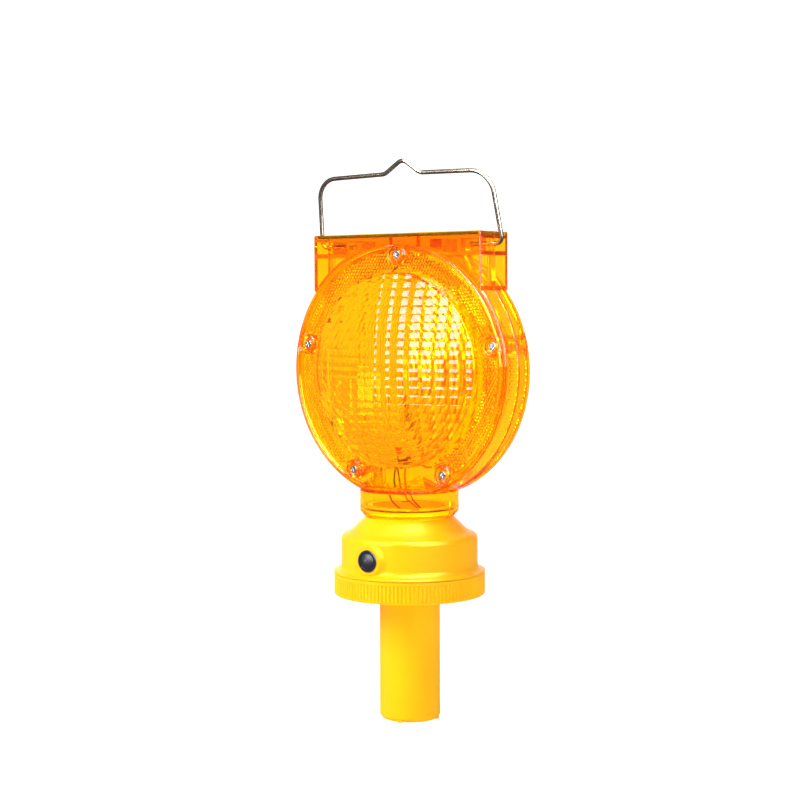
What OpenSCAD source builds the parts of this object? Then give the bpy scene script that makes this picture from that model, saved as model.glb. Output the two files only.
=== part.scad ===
// Solar hazard warning lamp that stands in the top of a traffic cone, with a bail to carry it by.
// A two-sided amber lens head sits on an opaque base, and a ribbed screw cap with a stem closes the base.
// The origin is on the stem's axis, at the underside of the cap, where the lamp sits on the cone.
// +Z is up and -Y is the front, with the push button.

/* [Stem and cap] */
// Outside diameter of the stem
stem_d = 44; // [42:0.5:46]
// Length of the stem below the cap
stem_len = 88.8; // [70:0.2:110]
// Wall thickness of the stem
stem_wall = 2.6; // [2:0.1:3.2]
// Height of the lugs on the stem's end plug
lug_h = 2; // [1.5:0.1:2.5]
// Outside diameter of the cap over its ribs
cap_d = 109.6; // [109.2:0.1:110]
// Number of grip ribs round the cap
rib_count = 120; // [90:2:140]

/* [Base housing] */
// Outside diameter of the base housing's wall
base_d = 99; // [98:0.2:99.4]
// Outside diameter of the flange above the cap
flange_d = 110; // [109:0.2:111]
// Pitch of the screw thread between cap and base
thread_pitch = 4; // [4:0.1:4.2]
// Height of the push button's axis
button_z = 29.3; // [28.9:0.1:29.8]
// Travel of the push button
button_travel = 1.5; // [1:0.1:1.8]

/* [Lens head] */
// Diameter of each round lens
lens_d = 180; // [179.6:0.1:180.2]
// Depth of the round housing between its front and rear edges
drum_depth = 32; // [31.6:0.1:32.4]
// Wall thickness of the amber shells
shell_wall = 2.5; // [2.3:0.1:2.7]
// Height of the lens centre above the cap's underside
head_z = 161.8; // [161.4:0.1:162.2]
// Height of the lens dome over the flat reflector ring
dome_h = 18; // [16:0.5:20]
// Diameter of the lens dome where it meets the reflector ring
dome_d = 140.6; // [138:0.2:141]

/* [Top block] */
// Width of the block that carries the solar panel
block_w = 146; // [145:0.2:147]
// Depth of the block
block_d = 35.3; // [35:0.1:35.6]
// Height of the block's top face above the cap's underside
block_top = 259.6; // [259.4:0.1:260]

/* [Bail handle] */
// Diameter of the bail wire
wire_d = 3.2; // [3:0.1:3.3]
// Height of the bail's bar above its pivot
bail_h = 52.2; // [48:0.1:56]
// Lean of the bail towards the front, in degrees
bail_lean = 10.2; // [0:0.1:20]

/* [Hidden] */
$fn = 96;

// Colours
base_yellow = [1, 0.76, 0.05];
amber = [1, 0.5, 0.02, 0.55];
rubber_black = [0.06, 0.06, 0.07];
zinc = [0.75, 0.72, 0.62];
board_green = [0.05, 0.36, 0.16];
tin = [0.8, 0.8, 0.8];

// Gaps between pieces: moving faces, seated faces and the seam between the two shells
gap = 0.3;
seat_gap = 0.1;
seam = 0.05;
// Overrun that lets a cut pass right through a face
over = 1;

// Stem and cap
stem_r = stem_d / 2;
bore_r = stem_r - stem_wall;
cap_r = cap_d / 2;
cap_h = 16.05;
cap_floor = 3;
cap_inner_r = 52;
rib_h = 0.65;
rib_sink = 0.05;
rib_root = 0.2;
rib_band_z = [1.6, 13.6];
gasket_z = cap_floor + gap;
gasket_h = 1.2;
plug_r = stem_r - 1.5;
plug_depth = 8;
lug_w = 3;
lug_turn = 15;

// Base housing
base_r = base_d / 2;
base_inner_r = 46.5;
skirt_r = 50;
skirt_z = gasket_z + gasket_h + gap;
flange_r = flange_d / 2;
flange_z = cap_h + gap;
shoulder_z = 40.2;
shoulder_r = 4.5;
base_top = 56.2;
collar_r = 30;
collar_inner_r = 26.8;
collar_top = 64.7;
lip_r = 32.5;
lip_z = [59.7, 62];

// Thread ridges: 1.5 turns, 10 degrees to a step
thread_turns = 1.5;
thread_step = 10;
thread_z = 6.5;
thread_depth = 1.4;
thread_root = 0.8;
thread_crest = 0.45;
thread_sink = 0.6;
thread_lead_in = 30;

// Push button
boss_face_y = -51.2;
boss_root_y = -47;
boss_r = [14.6, 10];
bushing_r = 7;
bushing_flange_r = 8;
bushing_end_y = -40;
button_r = 5.75;
button_hole_r = 5.83;
pad_y = -44.9;

// Circuit board, and the cells under it
board_size = [60, 50, 1.6];
board_z = 39.2;
board_hole = [24, 21];
cell_r = 7.25;
cell_len = 49.2;
cell_pitch = 15.4;
cell_z = board_z - 9.6;
holder_size = [57, 33, 15.5];

// Neck and lens head
neck_r = 35.9;
neck_foot_r = 32.3;
neck_z = [56.4, 60.8];
floor_z = [75.2, 77.7];
lead_hole_x = [-17.5, -2];
lens_r = lens_d / 2;
drum_r = lens_r + shell_wall;
drum_y = drum_depth / 2;
dome_r = dome_d / 2;
dome_step = 5.9;
cap_rise = dome_h - dome_step;
sphere_r = (dome_r * dome_r + cap_rise * cap_rise) / (2 * cap_rise);
sphere_y = drum_y + dome_h - sphere_r;
dome_wall = 2.2;
rim_in_r = lens_r - 2.4;
rim_y = drum_y + 2;
rim_back_y = drum_y - 3.6;
plate_wall = 2.5;
ledge_w = 3;
seam_lip_w = 2.7;
screw_pcr = 82.7;
screw_angles = [90, 12.7, 167.3, -61.8, -118.2];
boss_outer_r = 7.1;
boss_end_y = 9.05;
counterbore_r = 5.3;
screw_seat_y = drum_y - 2.8;
screw_hole_r = 1.7;
shank_r = 1.5;
shank_end_y = 7;
head_r = 3.5;
head_h = 2.2;

// Top block
block_x = block_w / 2;
block_y = block_d / 2;
block_foot = head_z + sqrt(drum_r * drum_r - block_x * block_x);
corner_r = 2;
face_wall = 2.2;
shelf_z = [243, 245.9];
tray_z = [254.7, 256.9];
cell_start_x = 30;
pin_boss_x = [41, 56];
panel_size = [140, 30, 2.2];
solar_cell_pitch = 16.9;
solar_cell_w = 16.1;
panel_gap = 0.4;
solar_hole = [12, 5];
solar_hole_r = 1.5;

// Bail
wire_r = wire_d / 2;
pivot_z = 250.9;
pin_hole_r = wire_r + 0.08;
pin_end_x = 52;
bail_end = 9;
wire_sides = 16;

// Board of the two LEDs, and the top of its hanger, both from the lens centre
board_half = 6;
hanger_top = screw_pcr - boss_outer_r - 0.6;

// Internal leads, as routes of round numbers from the circuit board up
lead_r = 0.6;
lead_sides = 8;
lead_substeps = 3;
red_led_route = [[-12, 10, 46.8], [-14, 8, 58], [-19, 2, 68], [-18.7, -0.2, 76.7], [-14.6, -0.8, 83.6],
    [-10.6, -1.4, 90.3], [-7, -2.4, 106], [-6, -3, 130], [-4, -2.6, 148], [-4, -1.5, 156.2]];
black_led_route = [[-9, 10, 46.8], [-11, 7, 58], [-16, 0, 66], [-16.5, -1.4, 76.8], [-12.6, -2.4, 84],
    [-8.8, -3.4, 91.1], [-4, -4.6, 108], [-2, -4.6, 130], [-1.6, -3, 148], [-1.6, -1.5, 156.2]];
red_solar_route = [[9, 10, 46.8], [6, 8, 58], [-2, 0, 68], [-3.2, -1.5, 76], [-2.6, -1.6, 81],
    [-0.8, -1.6, 92.3], [8, -0.5, 94.4], [23, 1, 92.4], [46.9, 3, 105.9], [66.2, 3, 130.9], [73, 3, 161.8],
    [67.7, 3, 189], [52.5, 4, 212.5], [34.3, 5, 226.3], [18, 6, 233], [12.4, 6, 243], [12, 5, 256.8]];
black_solar_route = [[12, 10, 46.8], [9, 7, 58], [1, 2.4, 68], [-1.3, 1.7, 77], [-7, 1.9, 84],
    [-12.8, 2.2, 90.9], [-23, 3, 92.4], [-46.9, 3, 105.9], [-66.2, 3, 130.9], [-73, 3, 161.8],
    [-67.7, 3, 189], [-52.5, 4, 212.5], [-34.3, 5, 226.3], [-18, 6, 233], [-12.4, 6, 243],
    [-12, 5, 256.8]];
left_switch_route = [[-3, -29.7, 30], [-3, -28.2, 30.4], [-5, -24, 34], [-5, -22, 36.6], [-5, -22, 38.8]];

function unit(v) = v / norm(v);
function arc(c, r, a0, a1, n) = [for (i = [0:n])
    let (a = a0 + (a1 - a0) * i / n) c + r * [cos(a), sin(a)]];

// Round path of a lead through its route's points
function spline(p0, p1, p2, p3, t) =
    ((2 * p1) + (p2 - p0) * t + (2 * p0 - 5 * p1 + 4 * p2 - p3) * t * t
    + (3 * p1 - p0 - 3 * p2 + p3) * t * t * t) / 2;
function smooth(route, n) = concat(
    [for (i = [0:len(route) - 2], k = [0:n - 1])
        spline(route[max(i - 1, 0)], route[i], route[i + 1], route[min(i + 2, len(route) - 1)], k / n)],
    [route[len(route) - 1]]);

// Polyline with its corners turned into arcs of the given radii
function corner(a, b, c, r, n) =
    let (u = unit(a - b), v = unit(c - b), half = acos(u * v) / 2, m = unit(u + v),
        centre = b + m * r / sin(half), start = b + u * r / tan(half), sweep = 180 - 2 * half,
        w = unit(start - centre), side = cross([u[0], u[1], 0], [v[0], v[1], 0])[2] > 0 ? -1 : 1)
    [for (i = [0:n]) let (g = side * sweep * i / n)
        centre + r * [w[0] * cos(g) - w[1] * sin(g), w[0] * sin(g) + w[1] * cos(g)]];

// Rings of a round tube along a path; ref is never parallel to the path
function tube_rings(path, r, sides, ref) =
    [for (i = [0:len(path) - 1])
        let (t = unit(path[min(i + 1, len(path) - 1)] - path[max(i - 1, 0)]),
            u = unit(cross(ref, t)), v = cross(t, u))
        [for (k = [0:sides - 1]) path[i] + r * (cos(360 * k / sides) * u + sin(360 * k / sides) * v)]];

// Closed skin over rings that all have the same number of points
module skin(rings) {
    m = len(rings[0]);
    n = len(rings);
    sides = [for (i = [0:n - 2], j = [0:m - 1]) let (a = i * m + j, b = i * m + (j + 1) % m)
        each [[a, b + m, b], [a, a + m, b + m]]];
    caps = [[for (j = [0:m - 1]) j], [for (j = [m - 1:-1:0]) (n - 1) * m + j]];
    polyhedron([for (ring = rings) each ring], concat(sides, caps), convexity = 10);
}

module lead(route, shade) color(shade)
    skin(tube_rings(smooth(route, lead_substeps), lead_r, lead_sides, [0, 1, 0]));

// Helical ridge on a wall of radius r; out is 1 on the outside of a wall and -1 on the inside
module thread_ridge(r, out, z) {
    steps = thread_turns * 360 / thread_step;
    skin([for (i = [0:steps])
        let (a = i * thread_step, zc = z + thread_pitch * a / 360,
            fade = min(1, i * thread_step / thread_lead_in, (steps - i) * thread_step / thread_lead_in),
            root = r - out * thread_sink,
            crest = r + out * (thread_depth * fade - thread_sink * (1 - fade) / 2),
            ring = [[root, -thread_root], [crest, -thread_crest], [crest, thread_crest], [root, thread_root]])
        [for (k = [0:3]) let (p = ring[out > 0 ? 3 - k : k]) [p[0] * cos(a), p[0] * sin(a), zc + p[1]]]]);
}

// Places along the Y axis, pointing to the front
module to_front() rotate([90, 0, 0]) children();
module at_screws(which = screw_angles) for (a = which)
    translate([screw_pcr * cos(a), 0, head_z + screw_pcr * sin(a)]) to_front() children();
module both_sides() for (s = [0, 1]) mirror([s, 0, 0]) children();

// ---- Stem, cap and gasket ----

// Outline of the ribbed band: a flat crest and a flat root to each rib
module rib_outline() {
    pitch = 360 / rib_count;
    corners = [[0.08, 0], [0.3, 1], [0.7, 1], [0.92, 0]];
    polygon([for (i = [0:rib_count - 1], c = corners)
        let (a = (i + c[0]) * pitch, r = cap_r - rib_sink - rib_h * (1 - c[1])) r * [cos(a), sin(a)]]);
}

module stem_cap() color(base_yellow) {
    rotate_extrude() polygon(concat(
        [[bore_r, -stem_len], [stem_r - 0.5, -stem_len], [stem_r, -stem_len + 0.5], [stem_r, 0],
            [cap_r - 1.6, 0]],
        arc([cap_r - 1.6, 1.6], 1.6, -60, 0, 3),
        [[cap_r - 1, rib_band_z[0]], [cap_r - 1, rib_band_z[1]], [cap_r, rib_band_z[1]],
            [cap_r, cap_h - 0.4], [cap_r - 0.4, cap_h], [cap_inner_r, cap_h], [cap_inner_r, cap_floor],
            [bore_r, cap_floor]]));
    translate([0, 0, rib_band_z[0] - rib_root])
        linear_extrude(rib_band_z[1] - rib_band_z[0] + 2 * rib_root) difference() {
            rib_outline();
            circle(cap_r - 1.8);
        }
    thread_ridge(cap_inner_r, -1, thread_z);
}

module stem_end_plug() color(base_yellow) translate([0, 0, -stem_len]) {
    difference() {
        union() {
            translate([0, 0, -lug_h + 0.3]) cylinder(r = plug_r, h = lug_h - 0.3 - seat_gap);
            translate([0, 0, -seat_gap - over]) cylinder(r = bore_r - seat_gap, h = plug_depth + over);
        }
        translate([0, 0, 1.5]) cylinder(r = bore_r - stem_wall, h = plug_depth);
    }
    for (i = [0:3]) rotate(i * 90 + lug_turn - 90) intersection() {
        translate([plug_r - 3, -lug_w / 2, -lug_h]) cube([5, lug_w, lug_h - seat_gap]);
        translate([0, 0, -lug_h]) cylinder(r = stem_r - 0.1, h = lug_h);
    }
}

module cap_gasket() color(rubber_black) translate([0, 0, gasket_z]) difference() {
    cylinder(r = cap_inner_r - 0.5, h = gasket_h);
    translate([0, 0, -over]) cylinder(r = base_inner_r + 0.5, h = gasket_h + 2 * over);
}

// ---- Base housing and what it holds ----

module base_profile() polygon(concat(
    [[skirt_r, skirt_z], [skirt_r, flange_z], [flange_r, flange_z], [flange_r, flange_z + 0.75],
        [flange_r - 0.6, flange_z + 1.4]],
    arc([base_r + 4.5, flange_z + 6.15], 4.5, 258, 180, 8),
    arc([base_r - shoulder_r, shoulder_z], shoulder_r, 0, 72, 9),
    [[42.8, 46], [39.4, 48.9], [35.2, 53.2], [32, base_top], [collar_r, base_top],
        [collar_r, lip_z[0]], [lip_r, lip_z[0]], [lip_r, lip_z[1]], [collar_r, lip_z[1]],
        [collar_r, collar_top], [collar_inner_r, collar_top], [collar_inner_r, 52], [33, 50.2],
        [41, 43.2], [base_inner_r, 39.5], [base_inner_r, skirt_z]]));

module base_housing() color(base_yellow) {
    difference() {
        union() {
            rotate_extrude() base_profile();
            difference() {
                translate([0, 0, button_z]) to_front() {
                    translate([0, 0, -pad_y]) cylinder(r = boss_r[0], h = pad_y - boss_root_y);
                    translate([0, 0, -boss_root_y])
                        cylinder(r1 = boss_r[0], r2 = boss_r[1], h = boss_root_y - boss_face_y);
                }
                cylinder(r = 44.6, h = shoulder_z);
            }
            for (x = [-1, 1], y = [-1, 1])
                translate([x * board_hole[0], y * board_hole[1], board_z + board_size[2] + seat_gap])
                    cylinder(r = 3.2, h = 10.5, $fn = 32);
        }
        translate([0, 0, button_z]) to_front() {
            translate([0, 0, 30]) cylinder(r = bushing_r + seat_gap, h = 40);
            translate([0, 0, 30]) cylinder(r = 11, h = -pad_y - 30);
        }
        for (x = [-1, 1], y = [-1, 1])
            translate([x * board_hole[0], y * board_hole[1], board_z])
                cylinder(r = 1.1, h = 9, $fn = 32);
        for (a = [42, 132, 222, 312]) rotate(a - 90)
            translate([collar_inner_r - 2, -3, collar_top - 2.2]) cube([8, 6, 4]);
    }
    thread_ridge(skirt_r, 1, thread_z + thread_pitch / 2);
}

module neck_seal() color(rubber_black) translate([0, 0, lip_z[1] + seat_gap]) difference() {
    cylinder(r = lip_r - 0.1, h = 1.2);
    translate([0, 0, -over]) cylinder(r = collar_r + seat_gap, h = 4);
}

module switch_bushing() color([0.05, 0.06, 0.12]) translate([0, 0, button_z]) to_front() difference() {
    union() {
        translate([0, 0, -bushing_end_y]) cylinder(r = bushing_r, h = bushing_end_y - boss_face_y + 0.5);
        translate([0, 0, -boss_face_y + seat_gap])
            cylinder(r1 = bushing_flange_r, r2 = bushing_flange_r - 0.4, h = 0.9);
    }
    translate([0, 0, -bushing_end_y - over]) cylinder(r = button_hole_r, h = 30);
}

module switch_nut() color(tin) translate([0, 0, button_z]) to_front() translate([0, 0, -pad_y - 3.1])
    difference() {
        cylinder(r = 10, h = 2.8, $fn = 6);
        translate([0, 0, -over]) cylinder(r = bushing_r + 0.05, h = 5);
    }

module switch_body() color([0.1, 0.1, 0.11]) translate([-6.5, -39.6, button_z - 6.5]) difference() {
    cube([13, 9.6, 13]);
    translate([6.5, -over, 6.5]) rotate([-90, 0, 0]) cylinder(r = 2.2, h = 4 + button_travel, $fn = 32);
}

module switch_leads() both_sides() lead(left_switch_route, [0.12, 0.12, 0.13]);

module button() color(rubber_black) translate([0, 0, button_z]) to_front() {
    rotate_extrude() polygon(concat(
        [[0, -bushing_end_y + 3 + button_travel], [button_r, -bushing_end_y + 3 + button_travel],
            [button_r, -boss_face_y + 0.4]],
        arc([button_r - 1.2, -boss_face_y + 0.4], 1.2, 0, 50, 3),
        [[3.4, -boss_face_y + 2.1], [0, -boss_face_y + 2.6]]));
    translate([0, 0, -bushing_end_y - 1.2]) cylinder(r = 1.6, h = 8, $fn = 32);
}

module circuit_board() color(board_green) translate([0, 0, board_z]) difference() {
    translate([-board_size[0] / 2, -board_size[1] / 2, 0]) cube(board_size);
    for (x = [-1, 1], y = [-1, 1]) translate([x * board_hole[0], y * board_hole[1], -over])
        cylinder(r = 1.7, h = 4, $fn = 32);
}

module board_screws() color(zinc) for (x = [-1, 1], y = [-1, 1])
    translate([x * board_hole[0], y * board_hole[1], board_z]) {
        translate([0, 0, -1.9]) cylinder(r1 = 2.2, r2 = 2.8, h = 1.8, $fn = 32);
        translate([0, 0, -over]) cylinder(r = 1, h = 9, $fn = 32);
    }

// Components stand on the board's upper face
board_face = board_z + board_size[2] + seat_gap / 2;

module controller_chip() color([0.08, 0.08, 0.09]) translate([-24, -6, board_face + 0.3]) {
    cube([6, 10, 2]);
    for (i = [0:3]) translate([-1.2, 1 + i * 2.4, -0.3]) cube([8.4, 0.8, 0.9]);
}

module board_capacitor() color([0.1, 0.14, 0.35]) translate([0, -12, board_face])
    cylinder(r = 4, h = 9.5, $fn = 32);

module boost_inductor() color([0.12, 0.12, 0.12]) translate([14, -6, board_face]) {
    cylinder(r = 5, h = 1.2, $fn = 32);
    cylinder(r = 3.6, h = 5, $fn = 32);
    translate([0, 0, 4.2]) cylinder(r = 5, h = 1.2, $fn = 32);
}

module charge_diode() color([0.1, 0.1, 0.1]) translate([-12, -14, board_face + 1.3]) {
    rotate([0, 90, 0]) cylinder(r = 1.3, h = 5, center = true, $fn = 32);
    for (s = [-1, 1]) translate([s * 4, 0, -0.65]) cube([3.6, 0.7, 1.3], center = true);
}

module lead_connectors() color([0.9, 0.88, 0.82]) for (x = [-10.5, 10.5])
    translate([x - 4, 7, board_face]) difference() {
        cube([8, 6, 6.4]);
        for (s = [-1, 1]) translate([4 + s * 1.5, 3, 5.6]) cylinder(r = 0.9, h = 3, $fn = 32);
    }

module battery_holder() color([0.09, 0.09, 0.1])
    translate([-holder_size[0] / 2, -holder_size[1] / 2, board_z - seat_gap - holder_size[2]]) difference() {
        cube(holder_size);
        translate([1.5, 1.2, -over])
            cube([holder_size[0] - 3, holder_size[1] - 2.4, holder_size[2] - 0.3]);
        for (s = [-1, 1]) translate([holder_size[0] / 2, holder_size[1] / 2 + s * cell_pitch / 2, 12])
            cylinder(r = 3, h = 6, $fn = 32);
    }

module battery(side, turn) color([0.2, 0.5, 0.3]) translate([0, side * cell_pitch / 2, cell_z])
    rotate([0, turn, 0]) translate([0, 0, -cell_len / 2]) {
        cylinder(r = cell_r, h = cell_len - 1);
        cylinder(r = 2.7, h = cell_len, $fn = 32);
    }
module battery_left() battery(-1, 90);
module battery_right() battery(1, -90);

// Flat contact at each positive end, a coil stack at each negative end
module battery_springs() color(tin) for (s = [-1, 1])
    translate([s * -(cell_len / 2 + seat_gap), s * cell_pitch / 2 * -1, cell_z]) rotate([0, s * -90, 0])
        for (i = [0:2]) translate([0, 0, i * 0.55])
            cylinder(r1 = 3 + i * 0.6, r2 = 3.4 + i * 0.6, h = 0.56, $fn = 32);

module battery_contacts() color(tin) for (s = [-1, 1]) {
    translate([s * (holder_size[0] / 2 - 1.75) - 0.2, -holder_size[1] / 2 + 2.5, cell_z - 5])
        cube([0.4, holder_size[1] - 5, 10]);
    translate([s * (cell_len / 2 + seat_gap), -s * cell_pitch / 2, cell_z]) rotate([0, s * 90, 0])
        cylinder(r = 2.5, h = 2, $fn = 32);
}

// ---- Lens head ----

// Round housing, with a small chamfer at each edge and a soft step behind the seam
module drum_outer() translate([0, 0, head_z]) to_front() rotate_extrude() polygon(concat(
    [[0, -drum_y], [drum_r - 0.8, -drum_y], [drum_r, -drum_y + 0.8], [drum_r, -3.2]],
    arc([drum_r - 2, -2], 2, 0, 50, 4),
    [[drum_r - 1, seam], [drum_r, seam], [drum_r, drum_y - 0.8], [drum_r - 0.8, drum_y], [0, drum_y]]));

module block_outer() intersection() {
    rotate([90, 0, 0]) linear_extrude(block_d, center = true) {
        translate([-block_x, block_foot]) square([block_w, block_top - block_foot - corner_r]);
        translate([-block_x + corner_r, block_foot]) square([block_w - 2 * corner_r, block_top - block_foot]);
        for (s = [-1, 1]) translate([s * (block_x - corner_r), block_top - corner_r]) circle(corner_r);
    }
    linear_extrude(block_top + over) {
        square([block_w, block_d - 2], center = true);
        square([block_w - 2, block_d], center = true);
        for (x = [-1, 1], y = [-1, 1]) translate([x * (block_x - 1), y * (block_y - 1)]) circle(1);
    }
}

module neck_outer() rotate_extrude() polygon([[0, neck_z[0]], [neck_foot_r, neck_z[0]], [neck_r, neck_z[1]],
    [neck_r, floor_z[1] - 0.5], [neck_r - 0.5, floor_z[1]], [0, floor_z[1]]]);

module neck_void() rotate_extrude() polygon([[0, neck_z[0] - over], [collar_r + 0.15, neck_z[0] - over],
    [collar_r + 0.15, lip_z[0] - 0.1], [lip_r + 0.3, lip_z[0] - 0.1], [lip_r + 0.3, 63.5],
    [collar_r + 0.5, 63.5], [collar_r + 0.5, 65.2], [neck_r - 2.5, 65.2], [neck_r - 2.5, floor_z[0]],
    [0, floor_z[0]]]);

module drum_cylinder(r) translate([0, 0, head_z]) to_front()
    cylinder(r = r, h = block_d + 2 * over, center = true, $fn = 180);

module above_floor(z) intersection() {
    children();
    translate([-100, -60, z]) cube([200, 120, 200]);
}

// Closed cells on both sides of the drum, round the seam lip and the pivot boss
module block_cells() both_sides() difference() {
    for (z = [[block_foot - 20, shelf_z[0]], [shelf_z[1], tray_z[0]]])
        translate([cell_start_x, -block_y + face_wall, z[0]])
            cube([block_x - shell_wall - cell_start_x, block_d - 2 * face_wall, z[1] - z[0]]);
    drum_cylinder(drum_r);
    translate([pin_boss_x[0], -block_y, shelf_z[1] - over])
        cube([pin_boss_x[1] - pin_boss_x[0], block_d, 20]);
    translate([block_x - shell_wall - 3, -seam_lip_w, block_foot - 30])
        cube([5, 2 * seam_lip_w, 80]);
}

module shells() difference() {
    union() {
        above_floor(floor_z[0]) drum_outer();
        block_outer();
        neck_outer();
    }
    above_floor(floor_z[1]) drum_cylinder(lens_r);
    neck_void();
    block_cells();
    translate([-panel_size[0] / 2 - panel_gap, -panel_size[1] / 2 - panel_gap, tray_z[1]])
        cube([panel_size[0] + 2 * panel_gap, panel_size[1] + 2 * panel_gap, 10]);
    both_sides() translate([pin_end_x - 1.5, 0, pivot_z]) rotate([0, 90, 0]) cylinder(r = pin_hole_r, h = 40);
    for (x = lead_hole_x) translate([x, 0, floor_z[0] - over]) cylinder(r = 3, h = 5, $fn = 32);
    both_sides() translate([solar_hole[0], solar_hole[1], tray_z[0] - 6])
        cylinder(r = solar_hole_r, h = 12, $fn = 32);
}

// Seat ring behind the lens, and the screw bosses that run back to the seam
module shell_ledge() above_floor(floor_z[1] - 0.5) translate([0, 0, head_z]) to_front() difference() {
    translate([0, 0, rim_back_y - seat_gap - 2]) cylinder(r = lens_r + 0.4, h = 2, $fn = 180);
    cylinder(r = lens_r - ledge_w, h = 30, $fn = 180);
    for (a = screw_angles) translate([screw_pcr * cos(a), screw_pcr * sin(a), boss_end_y])
        cylinder(r = boss_outer_r + gap, h = 30, $fn = 48);
}

module front_half() intersection() {
    children();
    translate([-150, -60 - seam, -100]) cube([300, 60, 450]);
}

module front_shell() color(amber) difference() {
    union() {
        front_half() shells();
        shell_ledge();
        at_screws() translate([0, 0, seam]) cylinder(r = boss_outer_r + 0.4, h = boss_end_y - seam, $fn = 48);
    }
    at_screws() cylinder(r = screw_hole_r, h = 20, $fn = 32);
}

module rear_shell() color(amber) difference() {
    union() {
        difference() {
            shells();
            translate([-150, -60 + seam, -100]) cube([300, 60, 450]);
        }
        mirror([0, 1, 0]) shell_ledge();
        mirror([0, 1, 0]) at_screws() translate([0, 0, seam])
            cylinder(r = boss_outer_r + 0.4, h = boss_end_y - seam, $fn = 48);
    }
    at_screws() translate([0, 0, -shank_end_y - 0.5]) cylinder(r = shank_r + seat_gap, h = 20, $fn = 32);
}

// Radial section of a lens: dome on a low step, flat reflector ring and raised rim
module lens_section() polygon(concat(
    arc([0, sphere_y], sphere_r, 90, 90 - asin((dome_r - 0.6) / sphere_r), 14),
    [[dome_r, drum_y + dome_step - 0.5], [dome_r, drum_y], [rim_in_r, drum_y], [rim_in_r + 0.3, rim_y],
        [lens_r - 0.6, rim_y], [lens_r - seat_gap, rim_y - 0.5],
        [lens_r - seat_gap, rim_back_y], [rim_in_r - 1, rim_back_y], [rim_in_r - 1.4, drum_y - plate_wall],
        [dome_r - dome_wall, drum_y - plate_wall]],
    arc([0, sphere_y], sphere_r - dome_wall,
        90 - asin((dome_r - dome_wall) / (sphere_r - dome_wall)), 90, 14)));

module lens() above_floor(floor_z[1] + seat_gap) difference() {
    union() {
        translate([0, 0, head_z]) to_front() rotate_extrude($fn = 180) lens_section();
        at_screws() translate([0, 0, boss_end_y + seat_gap])
            cylinder(r = boss_outer_r, h = drum_y + 0.9 - boss_end_y - seat_gap, $fn = 48);
    }
    at_screws() translate([0, 0, screw_seat_y]) cylinder(r = counterbore_r, h = 10, $fn = 48);
    at_screws() cylinder(r = screw_hole_r, h = 30, $fn = 32);
}

module front_lens() color(amber) lens();
module rear_lens() color(amber) mirror([0, 1, 0]) lens();

module lens_screws() color(tin) at_screws() difference() {
    union() {
        translate([0, 0, -shank_end_y]) cylinder(r = shank_r, h = shank_end_y + screw_seat_y + 1, $fn = 32);
        translate([0, 0, screw_seat_y + 0.05]) cylinder(r1 = head_r, r2 = head_r - 0.7, h = head_h, $fn = 48);
    }
    for (a = [0, 90]) rotate(a + 20) translate([-1.9, -0.4, screw_seat_y + 1]) cube([3.8, 0.8, 4]);
}

// ---- Solar panel ----

module solar_laminate() color([0.03, 0.03, 0.06])
    translate([-panel_size[0] / 2, -panel_size[1] / 2, tray_z[1] + seat_gap])
        cube([panel_size[0], panel_size[1], panel_size[2] - 0.3]);

// Row of narrow cells under the laminate's clear face
module solar_cells() color([0.02, 0.04, 0.16]) for (i = [0:7])
    translate([(i - 4) * solar_cell_pitch + 0.4, -panel_size[1] / 2 + 2.5, tray_z[1] + panel_size[2] - 0.15])
        cube([solar_cell_w, panel_size[1] - 5, 0.25]);

module solar_seal() color([0.15, 0.15, 0.15])
    translate([0, 0, tray_z[1] + panel_size[2] - 0.1]) difference() {
        translate([-panel_size[0] / 2 - 0.3, -panel_size[1] / 2 - 0.3, -1])
            cube([panel_size[0] + 0.6, panel_size[1] + 0.6, 1.2]);
        translate([-panel_size[0] / 2 - 0.02, -panel_size[1] / 2 - 0.02, -1 - over])
            cube([panel_size[0] + 0.04, panel_size[1] + 0.04, 4]);
    }

// ---- Lamp ----

// Clear hanger from the top screw bosses down to the board
module led_bracket() color(amber) {
    translate([-1.5, -0.8, head_z + board_half + seat_gap]) cube([3, 1.6, hanger_top - board_half - 1]);
    translate([-5, -3, head_z + hanger_top - 1.6]) cube([10, 6, 1.6]);
}

module led_board() color([0.92, 0.93, 0.9]) translate([-board_half, -0.8, head_z - board_half])
    cube([2 * board_half, 1.6, 2 * board_half]);

module led() {
    translate([0, 0, 0.9]) cylinder(r = 4.5, h = 1.4, $fn = 48);
    rotate_extrude($fn = 48) polygon(concat([[0, 0.9], [4, 0.9]], arc([0, 6.5], 4, 0, 90, 8)));
}
module front_led() color([1, 0.95, 0.8]) translate([0, 0, head_z]) to_front() led();
module rear_led() color([1, 0.95, 0.8]) mirror([0, 1, 0]) translate([0, 0, head_z]) to_front() led();

module led_lead_red() lead(red_led_route, "red");
module led_lead_black() lead(black_led_route, [0.08, 0.08, 0.08]);
module solar_lead_red() lead(red_solar_route, "red");
module solar_lead_black() lead(black_solar_route, [0.08, 0.08, 0.08]);

// ---- Bail handle ----

// Corners of the bail in its own plane, from the left pin to the right one: the kink is off centre
bail_corners = [[-78.2 + bail_end, 0], [-78.2, 0], [-74.2, bail_h - 1.4], [-14.3, bail_h],
    [2.8, bail_h + 10.2], [16.5, bail_h - 0.2], [75, bail_h - 1], [79.7, 0], [79.7 - bail_end, 0]];
bail_bends = [5, 16, 7, 6, 7, 18, 5];
bail_curve = concat(
    [bail_corners[0]],
    [for (i = [0:6])
        each corner(bail_corners[i], bail_corners[i + 1], bail_corners[i + 2], bail_bends[i], 7)],
    [bail_corners[8]]);
bail_path = [for (p = bail_curve) [p[0], 0, p[1]]];

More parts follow.
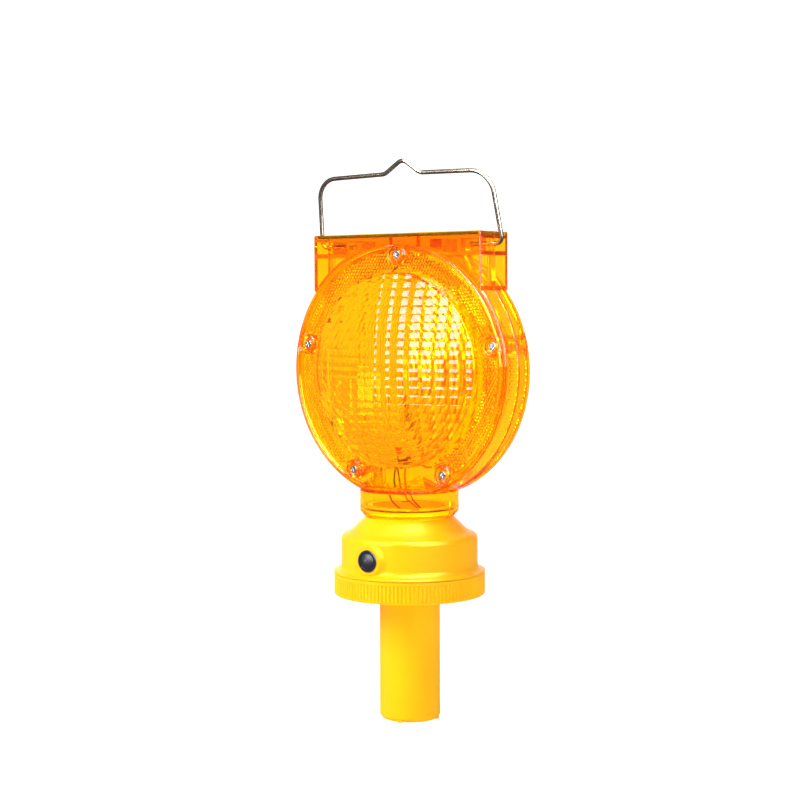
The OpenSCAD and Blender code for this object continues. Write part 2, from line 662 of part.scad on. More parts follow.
module bail_handle() color(zinc) translate([0, 0, pivot_z]) rotate([bail_lean, 0, 0]) {
    skin(tube_rings(bail_path, wire_r - 0.02, wire_sides, [0, 1, 0]));
    both_sides() translate([pin_end_x, 0, 0]) rotate([0, 90, 0])
        cylinder(r = wire_r, h = block_x + 0.8 - pin_end_x);
}

stem_cap();
stem_end_plug();
cap_gasket();
base_housing();
neck_seal();
switch_bushing();
switch_nut();
switch_body();
switch_leads();
button();
circuit_board();
board_screws();
controller_chip();
board_capacitor();
boost_inductor();
charge_diode();
lead_connectors();
battery_holder();
battery_left();
battery_right();
battery_springs();
battery_contacts();
front_shell();
rear_shell();
front_lens();
rear_lens();
lens_screws();
solar_laminate();
solar_cells();
solar_seal();
led_bracket();
led_board();
front_led();
rear_led();
led_lead_red();
led_lead_black();
solar_lead_red();
solar_lead_black();
bail_handle();
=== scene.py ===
"""Looks of a solar warning lamp for a traffic cone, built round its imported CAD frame.

Units are metres. -Y is the front and +Z is up, with the origin under the cap, on the stem's axis.
"""
import math

import bmesh
import bpy
import numpy as np
from mathutils import Matrix, Vector
from mathutils.geometry import delaunay_2d_cdt
from mathutils.kdtree import KDTree


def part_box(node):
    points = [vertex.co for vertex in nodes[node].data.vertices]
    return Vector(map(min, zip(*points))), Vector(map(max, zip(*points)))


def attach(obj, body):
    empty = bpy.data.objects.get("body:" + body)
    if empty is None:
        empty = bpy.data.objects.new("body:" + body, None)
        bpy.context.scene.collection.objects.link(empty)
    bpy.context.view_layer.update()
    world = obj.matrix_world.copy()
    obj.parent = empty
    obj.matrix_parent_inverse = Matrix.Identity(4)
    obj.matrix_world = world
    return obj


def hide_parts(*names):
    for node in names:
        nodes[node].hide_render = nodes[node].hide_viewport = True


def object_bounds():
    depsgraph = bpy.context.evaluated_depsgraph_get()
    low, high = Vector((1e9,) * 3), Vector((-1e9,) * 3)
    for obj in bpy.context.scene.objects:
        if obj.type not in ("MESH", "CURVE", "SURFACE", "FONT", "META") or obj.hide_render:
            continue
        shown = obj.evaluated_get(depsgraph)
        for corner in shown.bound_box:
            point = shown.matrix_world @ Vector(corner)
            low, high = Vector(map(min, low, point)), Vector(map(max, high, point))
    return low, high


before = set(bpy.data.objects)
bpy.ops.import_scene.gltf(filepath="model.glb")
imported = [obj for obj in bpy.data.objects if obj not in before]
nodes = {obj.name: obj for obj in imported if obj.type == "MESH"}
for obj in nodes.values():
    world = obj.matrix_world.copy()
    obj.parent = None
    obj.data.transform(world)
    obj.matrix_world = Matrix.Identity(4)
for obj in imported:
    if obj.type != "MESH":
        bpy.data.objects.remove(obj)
cad_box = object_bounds()
MM = 0.001


# ---- Places taken from the frame, and the sizes that the CAD shares ----

lens_low, lens_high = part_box("front_lens")
LENS_R = lens_high.x
HEAD_Z = lens_high.z - LENS_R
DOME_APEX = -lens_low.y
FLOOR_V = lens_low.z - HEAD_Z
PLATE_FRONT = 16 * MM
DOME_R = 70.3 * MM
DOME_STEP = 5.9 * MM
# A hair under the wire's 1.6 mm, as the facets of the CAD's wire lie inside that radius
WIRE_R = 1.58 * MM
BAIL_LEAN = math.radians(10.2)
CAP_RISE = DOME_APEX - PLATE_FRONT - DOME_STEP
SPHERE_R = (DOME_R ** 2 + CAP_RISE ** 2) / (2 * CAP_RISE)


# ---- Materials ----

class Nodes:
    """A material's node tree, with short calls for the nodes used here."""

    def __init__(self, name):
        self.material = bpy.data.materials.new(name)
        self.material.use_nodes = True
        self.tree = self.material.node_tree
        self.shader = self.tree.nodes["Principled BSDF"]
        self.output = self.tree.nodes["Material Output"]

    def add(self, kind, **values):
        node = self.tree.nodes.new(kind)
        for key, value in values.items():
            if key in node.inputs:
                node.inputs[key].default_value = value
            else:
                setattr(node, key, value)
        return node

    def link(self, a, b):
        self.tree.links.new(a, b)

    def set(self, **values):
        for key, value in values.items():
            self.shader.inputs[key.replace("_", " ")].default_value = value

    def position(self):
        return self.add("ShaderNodeNewGeometry").outputs["Position"]

    def noise(self, scale, detail):
        """Noise over the object's own coordinates, scale in cells per metre."""
        place = self.add("ShaderNodeTexCoord").outputs["Object"]
        noise = self.add("ShaderNodeTexNoise", Scale=scale, Detail=detail)
        self.link(place, noise.inputs["Vector"])
        return noise.outputs["Fac"]

    def ramp(self, source, stops):
        ramp = self.add("ShaderNodeValToRGB")
        elements = ramp.color_ramp.elements
        while len(elements) < len(stops):
            elements.new(0.5)
        for element, (place, colour) in zip(elements, stops):
            element.position = place
            element.color = colour if len(colour) == 4 else (*colour, 1)
        self.link(source, ramp.inputs["Fac"])
        return ramp.outputs["Color"]

    def to_range(self, source, low, high):
        span = self.add("ShaderNodeMapRange")
        span.inputs["To Min"].default_value = low
        span.inputs["To Max"].default_value = high
        self.link(source, span.inputs["Value"])
        return span.outputs["Result"]

    def bump(self, source, strength, distance):
        bump = self.add("ShaderNodeBump", Strength=strength, Distance=distance)
        self.link(source, bump.inputs["Height"])
        self.link(bump.outputs["Normal"], self.shader.inputs["Normal"])


AMBER_GLOSS = (1, 0.5, 0.65, 1)
AMBER_HAZE = (1, 0.3, 0.003, 1)
RED_ABSORPTION = 0.3


def amber_plastic(name, tint, green, blue, haze):
    """Clear amber plastic: a tint for each wall, and how much green and blue it absorbs in a metre."""
    n = Nodes(name)
    n.set(Base_Color=tint, Transmission_Weight=1.0, IOR=1.56, Specular_Tint=AMBER_GLOSS)
    n.link(n.to_range(n.noise(90, 4), 0.01, 0.035), n.shader.inputs["Roughness"])
    n.bump(n.noise(45, 2), 0.06, 0.0004)
    cloudy = n.add("ShaderNodeBsdfTranslucent", Color=AMBER_HAZE)
    mix = n.add("ShaderNodeMixShader", Fac=haze)
    n.link(n.shader.outputs["BSDF"], mix.inputs[1])
    n.link(cloudy.outputs["BSDF"], mix.inputs[2])
    lit_through = n.add("ShaderNodeMixShader")
    n.link(n.add("ShaderNodeLightPath").outputs["Is Shadow Ray"], lit_through.inputs[0])
    n.link(mix.outputs["Shader"], lit_through.inputs[1])
    n.link(n.add("ShaderNodeBsdfTransparent", Color=tint).outputs["BSDF"], lit_through.inputs[2])
    n.link(lit_through.outputs["Shader"], n.output.inputs["Surface"])
    passed = (1 - RED_ABSORPTION / blue, 1 - green / blue, 0, 1)
    volume = n.add("ShaderNodeVolumeAbsorption", Density=blue, Color=passed)
    n.link(volume.outputs["Volume"], n.output.inputs["Volume"])
    return n.material


def moulded_plastic(name, colour, shade, roughness, grain=900, bump=0.1):
    """Opaque moulded plastic with a faint mottle, a fine grain and uneven gloss."""
    n = Nodes(name)
    n.link(n.ramp(n.noise(35, 4), [(0.3, shade), (0.7, colour)]), n.shader.inputs["Base Color"])
    gloss = n.to_range(n.noise(grain / 4, 4), roughness * 0.8, roughness * 1.25)
    n.link(gloss, n.shader.inputs["Roughness"])
    n.set(Specular_IOR_Level=0.5)
    n.bump(n.noise(grain, 3), bump, 0.0001)
    return n.material


def metal(name, colour, tint, roughness, edge=(1, 1, 1, 1)):
    """Plated metal with patches of a second tint; edge colours what it reflects at a slant."""
    n = Nodes(name)
    n.set(Metallic=1.0, Specular_Tint=edge)
    n.link(n.ramp(n.noise(160, 5), [(0.35, tint), (0.65, colour)]), n.shader.inputs["Base Color"])
    gloss = n.to_range(n.noise(700, 3), roughness * 0.7, roughness * 1.4)
    n.link(gloss, n.shader.inputs["Roughness"])
    n.bump(n.noise(1200, 3), 0.12, 0.00005)
    return n.material


amber = amber_plastic("amber_polycarbonate", (1, 0.84, 0.06, 1), 30, 300, 0.08)
lens_amber = amber_plastic("lens_polycarbonate", (1, 0.76, 0.06, 1), 25, 300, 0.05)
yellow = moulded_plastic("yellow_polypropylene", (1.0, 0.50, 0.004), (1.0, 0.47, 0.003), 0.3)
yellow_gloss = yellow.node_tree.nodes["Principled BSDF"].inputs["Specular Tint"]
yellow_gloss.default_value = (1, 0.8, 0.15, 1)
rubber = moulded_plastic("black_rubber", (0.012, 0.014, 0.022), (0.008, 0.009, 0.014), 0.4)
bushing = moulded_plastic("navy_plastic", (0.01, 0.02, 0.05), (0.006, 0.012, 0.03), 0.22)
black = moulded_plastic("black_plastic", (0.02, 0.02, 0.022), (0.014, 0.014, 0.016), 0.45)
white = moulded_plastic("white_plastic", (0.82, 0.8, 0.74), (0.76, 0.74, 0.68), 0.4)
red = moulded_plastic("red_insulation", (0.55, 0.01, 0.005), (0.45, 0.008, 0.004), 0.35)
dark_lead = moulded_plastic("black_insulation", (0.015, 0.015, 0.015), (0.01, 0.01, 0.01), 0.35)
board = moulded_plastic("green_laminate", (0.02, 0.2, 0.06), (0.015, 0.15, 0.045), 0.3)
sleeve = moulded_plastic("cell_sleeve", (0.04, 0.3, 0.1), (0.03, 0.24, 0.08), 0.3)
blue_sleeve = moulded_plastic("capacitor_sleeve", (0.02, 0.04, 0.2), (0.015, 0.03, 0.15), 0.3)
laminate = moulded_plastic("laminate", (0.02, 0.022, 0.03), (0.012, 0.014, 0.02), 0.12)
zinc = metal("passivated_zinc", (0.6, 0.53, 0.44), (0.38, 0.31, 0.23), 0.22, edge=(0.05, 0.04, 0.03, 1))
nickel = metal("nickel", (0.95, 0.95, 0.96), (0.75, 0.75, 0.77), 0.16, edge=(0.5, 0.5, 0.52, 1))
tin = metal("tin", (0.76, 0.76, 0.76), (0.62, 0.62, 0.62), 0.25)


FINGER_PITCH = 1.1 * MM
FINGER_HALF = 0.06 * MM


def silicon_material():
    """Blue-black silicon with fine silver fingers."""
    n = Nodes("silicon")
    place = n.add("ShaderNodeSeparateXYZ")
    n.link(n.position(), place.inputs["Vector"])
    lines = n.add("ShaderNodeMath", operation="PINGPONG")
    lines.inputs[1].default_value = FINGER_PITCH
    n.link(place.outputs["X"], lines.inputs[0])
    thin = n.add("ShaderNodeMath", operation="LESS_THAN")
    thin.inputs[1].default_value = FINGER_HALF
    n.link(lines.outputs[0], thin.inputs[0])
    mix = n.add("ShaderNodeMix", data_type="RGBA")
    n.link(thin.outputs[0], mix.inputs["Factor"])
    dark = n.ramp(n.noise(220, 4), [(0.3, (0.004, 0.008, 0.035)), (0.7, (0.008, 0.016, 0.07))])
    n.link(dark, mix.inputs[6])
    mix.inputs[7].default_value = (0.45, 0.47, 0.5, 1)
    n.link(mix.outputs[2], n.shader.inputs["Base Color"])
    n.set(Roughness=0.18, Coat_Weight=0.6)
    return n.material


def led_material():
    """Warm clear resin."""
    n = Nodes("led_resin")
    warm = n.ramp(n.noise(300, 2), [(0.3, (1, 0.82, 0.3)), (0.7, (1, 0.9, 0.5))])
    n.link(warm, n.shader.inputs["Base Color"])
    n.link(n.to_range(n.noise(400, 2), 0.05, 0.15), n.shader.inputs["Roughness"])
    n.set(IOR=1.5, Transmission_Weight=0.5)
    return n.material


PAINTS = {
    yellow: ["stem_cap", "stem_end_plug", "base_housing"],
    rubber: ["cap_gasket", "neck_seal", "solar_seal", "button"],
    bushing: ["switch_bushing"],
    black: ["switch_body", "controller_chip", "boost_inductor", "charge_diode", "battery_holder"],
    dark_lead: ["switch_leads", "led_lead_black", "solar_lead_black"],
    red: ["led_lead_red", "solar_lead_red"],
    tin: ["switch_nut", "battery_springs", "battery_contacts"],
    nickel: ["board_screws", "lens_screws"],
    board: ["circuit_board"],
    blue_sleeve: ["board_capacitor"],
    white: ["lead_connectors", "led_board"],
    sleeve: ["battery_left", "battery_right"],
    amber: ["front_shell", "rear_shell", "led_bracket"],
    lens_amber: ["front_lens", "rear_lens"],
    laminate: ["solar_laminate"],
    silicon_material(): ["solar_cells"],
    led_material(): ["front_led", "rear_led"],
    zinc: ["bail_handle"],
}


def paint(piece, material):
    piece.data.materials.clear()
    piece.data.materials.append(material)


for material, members in PAINTS.items():
    for name in members:
        paint(nodes[name], material)


# ---- Mesh helpers ----

def mesh_piece(name, vertices, faces, material, body, sharp_angle=35):
    """A mesh object that rides on a body, shaded smooth except over edges sharper than the angle."""
    mesh = bpy.data.meshes.new(name)
    mesh.from_pydata([tuple(v) for v in vertices], [], faces)
    mesh.validate()
    work = bmesh.new()
    work.from_mesh(mesh)
    bmesh.ops.recalc_face_normals(work, faces=work.faces)
    for face in work.faces:
        face.smooth = True
    limit = math.radians(sharp_angle)
    for edge in work.edges:
        if len(edge.link_faces) == 2 and edge.calc_face_angle(0) > limit:
            edge.smooth = False
    work.to_mesh(mesh)
    work.free()
    piece = bpy.data.objects.new(name, mesh)
    bpy.context.scene.collection.objects.link(piece)
    paint(piece, material)
    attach(piece, body)
    return piece


def circle_points(cx, cy, r, count):
    turns = [2 * math.pi * i / count for i in range(count)]
    return [(cx + r * math.cos(a), cy + r * math.sin(a)) for a in turns]


class Plan:
    """Points and edges in the lens's own plane, triangulated into one side of the lens."""

    def __init__(self):
        self.points = []
        self.edges = []

    def free(self, points):
        self.points += points

    def chain(self, points, closed=True):
        start = len(self.points)
        self.points += points
        last = len(points) if closed else len(points) - 1
        self.edges += [(start + i, start + (i + 1) % len(points)) for i in range(last)]

    def triangles(self):
        points = [Vector(p) for p in self.points]
        co, _, faces, *_ = delaunay_2d_cdt(points, self.edges, [], 0, 1e-7)
        return np.array(co), faces


def refined(node, body, sharp_angle=32, ease=0.0):
    """A copy of a CAD node with its flat faces merged, its curves shaded smooth and its edges eased."""
    source = nodes[node]
    work = bmesh.new()
    work.from_mesh(source.data)
    work.transform(source.matrix_world)
    bmesh.ops.remove_doubles(work, verts=work.verts, dist=1e-6)
    bmesh.ops.dissolve_limit(work, angle_limit=math.radians(0.3), verts=work.verts, edges=work.edges)
    limit = math.radians(sharp_angle)
    for face in work.faces:
        face.smooth = True
    for edge in work.edges:
        edge.smooth = len(edge.link_faces) != 2 or edge.calc_face_angle(0) < limit
    mesh = bpy.data.meshes.new(node + "_fine")
    work.to_mesh(mesh)
    work.free()
    piece = bpy.data.objects.new(node + "_fine", mesh)
    bpy.context.scene.collection.objects.link(piece)
    paint(piece, source.data.materials[0])
    if ease:
        bevel = piece.modifiers.new("ease", "BEVEL")
        bevel.width, bevel.segments = ease, 3
        bevel.limit_method, bevel.angle_limit = "ANGLE", limit
        bevel.use_clamp_overlap = True
        bevel.harden_normals = True
    else:
        weigh = piece.modifiers.new("weigh", "WEIGHTED_NORMAL")
        weigh.keep_sharp = True
    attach(piece, body)
    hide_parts(node)


for name in ("stem_cap", "stem_end_plug"):
    refined(name, "cap")
refined("base_housing", "lamp")
for name in ("front_shell", "rear_shell"):
    refined(name, "lamp", ease=0.5 * MM)
refined("switch_bushing", "lamp", ease=0.2 * MM)
refined("button", "button", ease=0.3 * MM)
refined("lens_screws", "lamp", ease=0.25 * MM)


# ---- Bail ----

BAIL_PIVOT_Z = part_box("bail_handle")[0].z + WIRE_R
BAIL_CORNERS = [(-52, 0), (-78.2, 0), (-74.2, 50.8), (-14.3, 52.2), (2.8, 62.4), (16.5, 52), (75, 51.2),
                (79.7, 0), (52, 0)]
BAIL_BENDS = [5, 16, 9, 7, 9, 18, 5]


def rounded(corners, bends, steps=14):
    """The polyline through the corners, with an arc of the given radius at each inner one."""
    path = [Vector(corners[0])]
    for before, at, after, r in zip(corners, corners[1:], corners[2:], bends):
        at = Vector(at)
        u = (Vector(before) - at).normalized()
        v = (Vector(after) - at).normalized()
        half = u.angle(v) / 2
        centre = at + (u + v).normalized() * r / math.sin(half)
        start, end = at + u * r / math.tan(half) - centre, at + v * r / math.tan(half) - centre
        first = math.atan2(start.y, start.x)
        sweep = math.remainder(math.atan2(end.y, end.x) - first, 2 * math.pi)
        turns = [first + sweep * i / steps for i in range(steps + 1)]
        path += [centre + Vector((math.cos(a), math.sin(a))) * r for a in turns]
    return path + [Vector(corners[-1])]


def bail_piece(sides=28):
    """The bent wire, swept through its own plane and leant forward about its pins."""
    path = [Vector((p.x, 0, p.y)) * MM for p in rounded(BAIL_CORNERS, BAIL_BENDS)]
    out = Vector((0, 1, 0))
    lean = Matrix.Translation((0, 0, BAIL_PIVOT_Z)) @ Matrix.Rotation(BAIL_LEAN, 4, "X")
    vertices, faces = [], []
    for i, centre in enumerate(path):
        along = (path[min(i + 1, len(path) - 1)] - path[max(i - 1, 0)]).normalized()
        across = along.cross(out)
        for a in np.linspace(0, 2 * math.pi, sides, endpoint=False):
            vertices.append(lean @ (centre + (across * math.cos(a) + out * math.sin(a)) * WIRE_R))
    for i in range(len(path) - 1):
        for k in range(sides):
            a, b = i * sides + k, i * sides + (k + 1) % sides
            faces.append((a, b, b + sides, a + sides))
    faces += [tuple(range(sides)), tuple(range(len(vertices) - sides, len(vertices)))]
    piece = mesh_piece("bail_wire", vertices, faces, zinc, "bail")
    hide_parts("bail_handle")


bail_piece()


# ---- Lens ----

SCREW_R = 82.7 * MM
SCREW_ANGLES = [90, 12.7, 167.3, -61.8, -118.2]
SCREWS = [(SCREW_R * math.cos(a), SCREW_R * math.sin(a)) for a in map(math.radians, SCREW_ANGLES)]
PILLOW_W, PILLOW_H = 11.6 * MM, 6.27 * MM
PILLOW_U, PILLOW_V = -5.2 * MM, 2.65 * MM
PILLOW_TILT_X, PILLOW_TILT_Z = math.radians(10.5), math.radians(14)
PILLOW_COLUMNS, PILLOW_ROWS = 7, 12
PILLOW_FINE_X, PILLOW_FINE_Z = 8, 5
PILLOW_EDGE = 0.6 * MM
# Profiles are radii and heights in millimetres: the raised rim, a screw boss, and the inside's rebate
OUTER_PROFILE = [(0, 16), (87.2, 16), (87.5, 16.1), (87.65, 16.4), (87.75, 17), (87.9, 17.45),
                 (88.2, 17.8), (88.6, 17.97), (88.9, 18), (89.2, 17.95), (89.6, 17.65), (89.8, 17.3),
                 (89.9, 16.9)]
BOSS_PROFILE = [(5.15, 13.2), (5.3, 13.4), (5.45, 16.6), (5.75, 16.9), (6.8, 16.9), (7.1, 16.6),
                (7.25, 16.1), (7.6, 16)]
INNER_PROFILE = [(86.7, 13.5), (87, 12.4)]
RIM_FOOT_R = 87.2 * MM
BOSS_WALL = (7.1 * MM, 7.15 * MM)
BOSS_LIMIT = 7.12 * MM
BOSS_LIMIT_R = 86.6 * MM
BOSS_EDGE_R = 86.5 * MM
BOSS_BACK = 9.2 * MM
BOSS_SIDES = 40
DOME_DRAFT = 0.2 * MM
DOME_WALL = 2.2 * MM
DOME_FOOT = (DOME_R - 2 * MM, DOME_R - 1.8 * MM)
CENTRE_RINGS = [3.6 * MM, 7 * MM, 10 * MM]
FRESNEL_START = 13 * MM
FRESNEL_END = 67 * MM
FRESNEL_PITCH = 4 * MM
FRESNEL_GAP = 0.02 * MM
FRESNEL_DEPTH = 0.95
FRESNEL_FOCUS = 32 * MM
CENTRE_BULGE = 1.6 * MM
PRISM_PITCH = 2.5 * MM
PRISM_H = 0.75 * MM
PRISM_RING = (71.2 * MM, 86.4 * MM)
PRISM_SCREW_GAP = 9.2 * MM
PRISM_FLOOR_GAP = 3 * MM
WINDOW_HALF = math.radians(24)
# Slack for telling which points belong to a face
HAIR = 0.01 * MM


def profile_height(profile, distance):
    return np.interp(distance / MM, [p[0] for p in profile], [p[1] for p in profile]) * MM


def dome(r):
    return DOME_APEX - SPHERE_R + np.sqrt(np.maximum(SPHERE_R ** 2 - r ** 2, 0))


def pillow(u, v):
    """Height of the pillow grid over the dome: a shallow cushion in each cell."""
    s = (u - PILLOW_U) / PILLOW_W
    t = (v - PILLOW_V) / PILLOW_H
    s = s - np.floor(s) - 0.5
    t = t - np.floor(t) - 0.5
    rise_x = PILLOW_W / 4 * math.tan(PILLOW_TILT_X)
    rise_z = PILLOW_H / 4 * math.tan(PILLOW_TILT_Z)
    return -rise_x * 4 * s ** 2 - rise_z * 4 * t ** 2


def inside_lens(u, v, r):
    return u * u + v * v < r * r and v > FLOOR_V + 0.1 * MM


def lens_outline(steps=180):
    """The lens's outline, a circle cut off by the flat above the floor."""
    half = math.asin(-FLOOR_V / LENS_R)
    turns = np.linspace(-half, math.pi + half, steps)
    arc = [(LENS_R * math.cos(a), LENS_R * math.sin(a)) for a in turns]
    flat = [(x, FLOOR_V) for x in np.linspace(arc[-1][0], arc[0][0], 24)[1:-1]]
    return arc + flat


def ring(plan, r, count=180):
    """A circle about the lens's axis, without its points below the flat."""
    turns = np.linspace(-math.pi / 2, 1.5 * math.pi, count + 1)[:-1]
    run = [(r * math.cos(a), r * math.sin(a)) for a in turns]
    kept = [p for p in run if p[1] > FLOOR_V + 0.2 * MM]
    plan.chain(kept, closed=len(kept) == len(run))


def boss_circle(plan, x, y, r, limit):
    """A circle about a screw, without its points past the limiting radius or below the flat."""
    points = circle_points(x, y, r, BOSS_SIDES)
    plan.chain([p for p in points if inside_lens(*p, limit)], closed=False)


def outer_plan():
    """The outside's points: outline, rim, dome edge, bosses and a fine grid over the pillows."""
    plan = Plan()
    plan.chain(lens_outline())
    for r, _ in OUTER_PROFILE[1:-1]:
        ring(plan, r * MM)
    ring(plan, DOME_R)
    ring(plan, DOME_R - DOME_DRAFT)
    for x, y in SCREWS:
        for r, _ in BOSS_PROFILE:
            boss_circle(plan, x, y, r * MM, RIM_FOOT_R)
        plan.free([(x, y)])
    for i in range(-PILLOW_COLUMNS * PILLOW_FINE_X, PILLOW_COLUMNS * PILLOW_FINE_X + 1):
        u = PILLOW_U + i * PILLOW_W / PILLOW_FINE_X
        for j in range(-PILLOW_ROWS * PILLOW_FINE_Z, PILLOW_ROWS * PILLOW_FINE_Z + 1):
            v = PILLOW_V + j * PILLOW_H / PILLOW_FINE_Z
            if math.hypot(u, v) < DOME_R - PILLOW_EDGE:
                plan.free([(u, v)])
    return plan


def boss_height(u, v, height):
    """The height with the screw bosses laid over it."""
    for x, y in SCREWS:
        d = np.hypot(u - x, v - y)
        height = np.where(d < BOSS_PROFILE[-1][0] * MM, profile_height(BOSS_PROFILE, d), height)
    return height


def outer_height(u, v):
    r = np.hypot(u, v)
    flat = boss_height(u, v, profile_height(OUTER_PROFILE, r))
    return np.where(r < DOME_R - HAIR, dome(r) + pillow(u, v), flat)


def inner_dome(r):
    """Inner face of the dome: a bulging centre, then rings whose facets get steeper outwards."""
    base = dome(r) - DOME_WALL
    k = np.floor((r - FRESNEL_START) / FRESNEL_PITCH)
    start = FRESNEL_START + k * FRESNEL_PITCH
    across = (r - start) / FRESNEL_PITCH
    steep = np.tan(0.5 * np.arctan(r / FRESNEL_FOCUS))
    saw = -(1 - across) * steep * FRESNEL_PITCH * FRESNEL_DEPTH
    centre = -CENTRE_BULGE * (1 - (r / FRESNEL_START) ** 2)
    return base + np.where(r < FRESNEL_START, centre, saw)


def prism_fits(u, v, corners):
    """Whether a prism lies clear of the ring's edges, the screws, the window and the flat."""
    window = abs(math.atan2(u, -v)) < WINDOW_HALF
    if window or v < FLOOR_V + PRISM_FLOOR_GAP:
        return False
    if any(math.hypot(u - x, v - y) <= PRISM_SCREW_GAP for x, y in SCREWS):
        return False
    return all(PRISM_RING[0] < math.hypot(*c) < PRISM_RING[1] for c in corners)


def hexagons():
    """Centres and corners of the reflex prisms."""
    side = PRISM_PITCH / math.sqrt(3)
    turns = [math.pi / 6 + k * math.pi / 3 for k in range(6)]
    found = []
    for j in range(-60, 61):
        for i in range(-60, 61):
            u = (i + 0.5 * (j % 2)) * PRISM_PITCH
            v = j * side * 1.5
            corners = [(u + side * math.cos(a), v + side * math.sin(a)) for a in turns]
            if prism_fits(u, v, corners):
                found.append(((u, v), corners))
    return found


def inner_plan(prisms):
    """The inside's points: outline, dome foot, Fresnel rings, prisms and the backs of the bosses."""
    plan = Plan()
    plan.chain(lens_outline())
    for r in (*DOME_FOOT, *(r * MM for r, _ in INNER_PROFILE)):
        ring(plan, r)
    radii = list(CENTRE_RINGS)
    for r in np.arange(FRESNEL_START, FRESNEL_END, FRESNEL_PITCH):
        radii += [r - FRESNEL_GAP, r + FRESNEL_GAP]
    for r in radii:
        ring(plan, r, 144)
    plan.free([(0, 0)])
    corners = {(round(u * 1e6), round(v * 1e6)): (u, v) for _, ring_of in prisms for u, v in ring_of}
    plan.free(list(corners.values()))
    plan.free([centre for centre, _ in prisms])
    for x, y in SCREWS:
        for r in BOSS_WALL:
            boss_circle(plan, x, y, r, BOSS_EDGE_R)
    return plan


def nearest(u, v, places):
    """For each place, the number of the point that lies there."""
    tree = KDTree(len(u))
    for i, (a, b) in enumerate(zip(u, v)):
        tree.insert((a, b, 0), i)
    tree.balance()
    return [tree.find((a, b, 0))[1] for a, b in places]


def inner_height(u, v, prisms):
    r = np.hypot(u, v)
    height = profile_height(INNER_PROFILE, r)
    for x, y in SCREWS:
        boss = (np.hypot(u - x, v - y) < BOSS_LIMIT) & (r < BOSS_LIMIT_R)
        height = np.where(boss, BOSS_BACK, height)
    height[nearest(u, v, [centre for centre, _ in prisms])] -= PRISM_H
    return np.where(r < DOME_FOOT[1] - HAIR, inner_dome(r), height)


def soften_rim(piece, side):
    """Rounds off the shading of the raised rim and the screw bosses, which lie over the flat ring."""
    points = piece.data.vertices
    sharp = piece.data.attributes["sharp_edge"].data
    for edge in piece.data.edges:
        ends = [points[i].co for i in edge.vertices]
        over_ring = all(side * p.y > PLATE_FRONT - HAIR for p in ends)
        if over_ring and all(math.hypot(p.x, p.z - HEAD_Z) > DOME_R + 1 * MM for p in ends):
            sharp[edge.index].value = False


def lens_piece(name, node, side):
    """One moulded lens; side is -1 for the front and 1 for the rear."""
    prisms = hexagons()
    vertices, faces = [], []
    outline = {}
    for layer, plan in enumerate((outer_plan(), inner_plan(prisms))):
        co, tris = plan.triangles()
        u, v = co[:, 0], co[:, 1]
        height = outer_height(u, v) if layer == 0 else inner_height(u, v, prisms)
        start = len(vertices)
        vertices += [(a, side * h, b + HEAD_Z) for a, b, h in zip(u, v, height)]
        for t in tris:
            faces.append([start + i for i in t])
        outline[layer] = [start + i for i in nearest(u, v, lens_outline())]
    count = len(outline[0])
    for i in range(count):
        j = (i + 1) % count
        faces.append([outline[0][i], outline[0][j], outline[1][j], outline[1][i]])
    piece = mesh_piece(name, vertices, faces, lens_amber, "lamp", sharp_angle=14)
    soften_rim(piece, side)
    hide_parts(node)


lens_piece("optic_front", "front_lens", -1)
lens_piece("optic_rear", "rear_lens", 1)


# ---- Setting: floor, light and camera ----

VIEW_YAW, VIEW_PITCH, VIEW_ROLL = math.radians(35.66), math.radians(3.23), math.radians(-0.21)
CAMERA_PLACE = (0.6965, -0.9820, 0.2081)
FOCAL_LENGTH, SENSOR_WIDTH = 75.15, 36
FLOOR_HALF = 6.0
LIGHT_DISTANCE = 1.6
PANEL_EDGES = [(0.2, 0.85), (0.85, 0.97)]
BACKDROP_LEVEL = 1.25
ROOM_LEVEL = 0.12
CLEAR_ROOM_LEVEL = 0.8


def floor():
    """White paper under the stem, lit evenly, and left out of reflections."""
    mesh = bpy.data.meshes.new("floor")
    half, z = FLOOR_HALF, cad_box[0].z
    corners = [(-half, -half, z), (half, -half, z), (half, half, z), (-half, half, z)]
    mesh.from_pydata(corners, [], [(0, 1, 2, 3)])
    piece = bpy.data.objects.new("floor", mesh)
    bpy.context.scene.collection.objects.link(piece)
    n = Nodes("floor_paper")
    n.link(n.ramp(n.noise(3, 2), [(0.3, (0.3, 0.3, 0.3)), (0.7, (0.34, 0.34, 0.34))]),
           n.shader.inputs["Base Color"])
    n.set(Roughness=0.9, Specular_IOR_Level=0.1, Emission_Color=(1, 1, 1, 1), Emission_Strength=1.0)
    paint(piece, n.material)
    piece.visible_glossy = False


def area_light(name, azimuth, elevation, width, height, watts, diffuse=True, glossy=True):
    """A softbox seen from the head in that direction; azimuth 0 is the front and 90 is +X."""
    data = bpy.data.lights.new(name, "AREA")
    data.shape = "RECTANGLE"
    data.size, data.size_y = width, height
    data.energy = watts
    lamp = bpy.data.objects.new(name, data)
    a, e = math.radians(azimuth), math.radians(elevation)
    away = Vector((math.sin(a) * math.cos(e), -math.cos(a) * math.cos(e), math.sin(e)))
    lamp.location = Vector((0, 0, HEAD_Z)) + away * LIGHT_DISTANCE
    lamp.rotation_mode = "QUATERNION"
    lamp.rotation_quaternion = away.to_track_quat("Z", "Y")
    lamp.visible_diffuse = diffuse
    lamp.visible_glossy = lamp.visible_transmission = glossy
    bpy.context.scene.collection.objects.link(lamp)


def mix_levels(tree, factor, a, b):
    """A level that goes from a to b with the factor; a and b are sockets or numbers."""
    mix = tree.nodes.new("ShaderNodeMix")
    tree.links.new(factor, mix.inputs["Factor"])
    for name, level in (("A", a), ("B", b)):
        if isinstance(level, float):
            mix.inputs[name].default_value = level
        else:
            tree.links.new(level, mix.inputs[name])
    return mix.outputs["Result"]


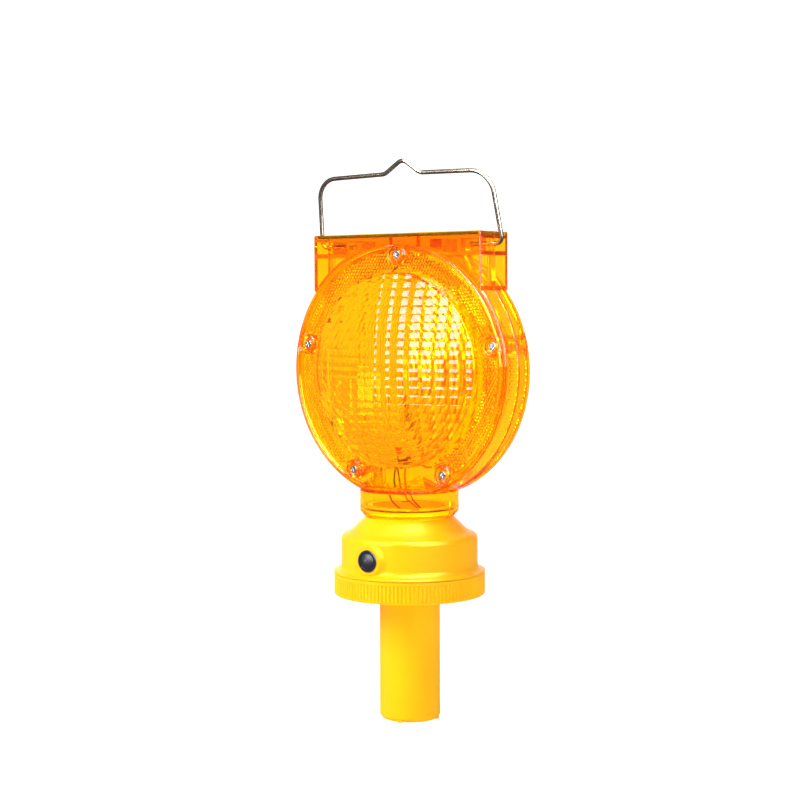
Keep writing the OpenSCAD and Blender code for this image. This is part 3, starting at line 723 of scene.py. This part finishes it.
def studio_world():
    """A white panel behind the lamp, narrower in reflections, in a room that is lighter through amber."""
    world = bpy.data.worlds.new("studio")
    bpy.context.scene.world = world
    world.use_nodes = True
    tree = world.node_tree
    background = tree.nodes["Background"]
    background.inputs["Color"].default_value = (1, 1, 1, 1)
    place = tree.nodes.new("ShaderNodeTexCoord")
    facing = tree.nodes.new("ShaderNodeVectorMath")
    facing.operation = "DOT_PRODUCT"
    facing.inputs[1].default_value = (-math.sin(VIEW_YAW), math.cos(VIEW_YAW), 0)
    tree.links.new(place.outputs["Generated"], facing.inputs[0])
    wide, narrow = [tree.nodes.new("ShaderNodeMapRange") for _ in PANEL_EDGES]
    for fall, (low, high) in zip((wide, narrow), PANEL_EDGES):
        fall.interpolation_type = "SMOOTHSTEP"
        fall.inputs["From Min"].default_value = low
        fall.inputs["From Max"].default_value = high
        tree.links.new(facing.outputs["Value"], fall.inputs["Value"])
    ray = tree.nodes.new("ShaderNodeLightPath").outputs
    room = mix_levels(tree, ray["Is Transmission Ray"], ROOM_LEVEL, CLEAR_ROOM_LEVEL)
    panel = mix_levels(tree, ray["Is Glossy Ray"], wide.outputs["Result"], narrow.outputs["Result"])
    seen = mix_levels(tree, panel, room, BACKDROP_LEVEL)
    level = mix_levels(tree, ray["Is Camera Ray"], seen, BACKDROP_LEVEL)
    tree.links.new(level, background.inputs["Strength"])


def lighting():
    studio_world()
    area_light("left_box", -12, 20, 0.76, 0.99, 42, diffuse=False)
    area_light("right_box", 68, 31, 1.5, 1.75, 125, diffuse=False)
    area_light("rim_box", 50, 62, 0.9, 0.9, 75, diffuse=False)
    area_light("key", -30, 35, 1.0, 1.0, 38.5, glossy=False)
    area_light("fill", 78, 12, 1.2, 1.2, 7, glossy=False)
    area_light("top_box", 0, 90, 1.6, 1.6, 16)


def camera():
    data = bpy.data.cameras.new("camera")
    data.lens = FOCAL_LENGTH
    data.sensor_width = SENSOR_WIDTH
    data.clip_start, data.clip_end = 0.05, 50
    cam = bpy.data.objects.new("camera", data)
    cam.location = CAMERA_PLACE
    level = Vector((-math.sin(VIEW_YAW), math.cos(VIEW_YAW), 0))
    forward = level * math.cos(VIEW_PITCH) - Vector((0, 0, math.sin(VIEW_PITCH)))
    cam.rotation_mode = "QUATERNION"
    aim = forward.to_track_quat("-Z", "Y")
    cam.rotation_quaternion = aim @ Matrix.Rotation(VIEW_ROLL, 4, "Z").to_quaternion()
    bpy.context.scene.collection.objects.link(cam)
    bpy.context.scene.camera = cam


floor()
lighting()
camera()
bpy.context.scene.view_settings.view_transform = "Standard"
bpy.context.scene.cycles.max_bounces = 64
bpy.context.scene.cycles.transmission_bounces = 64
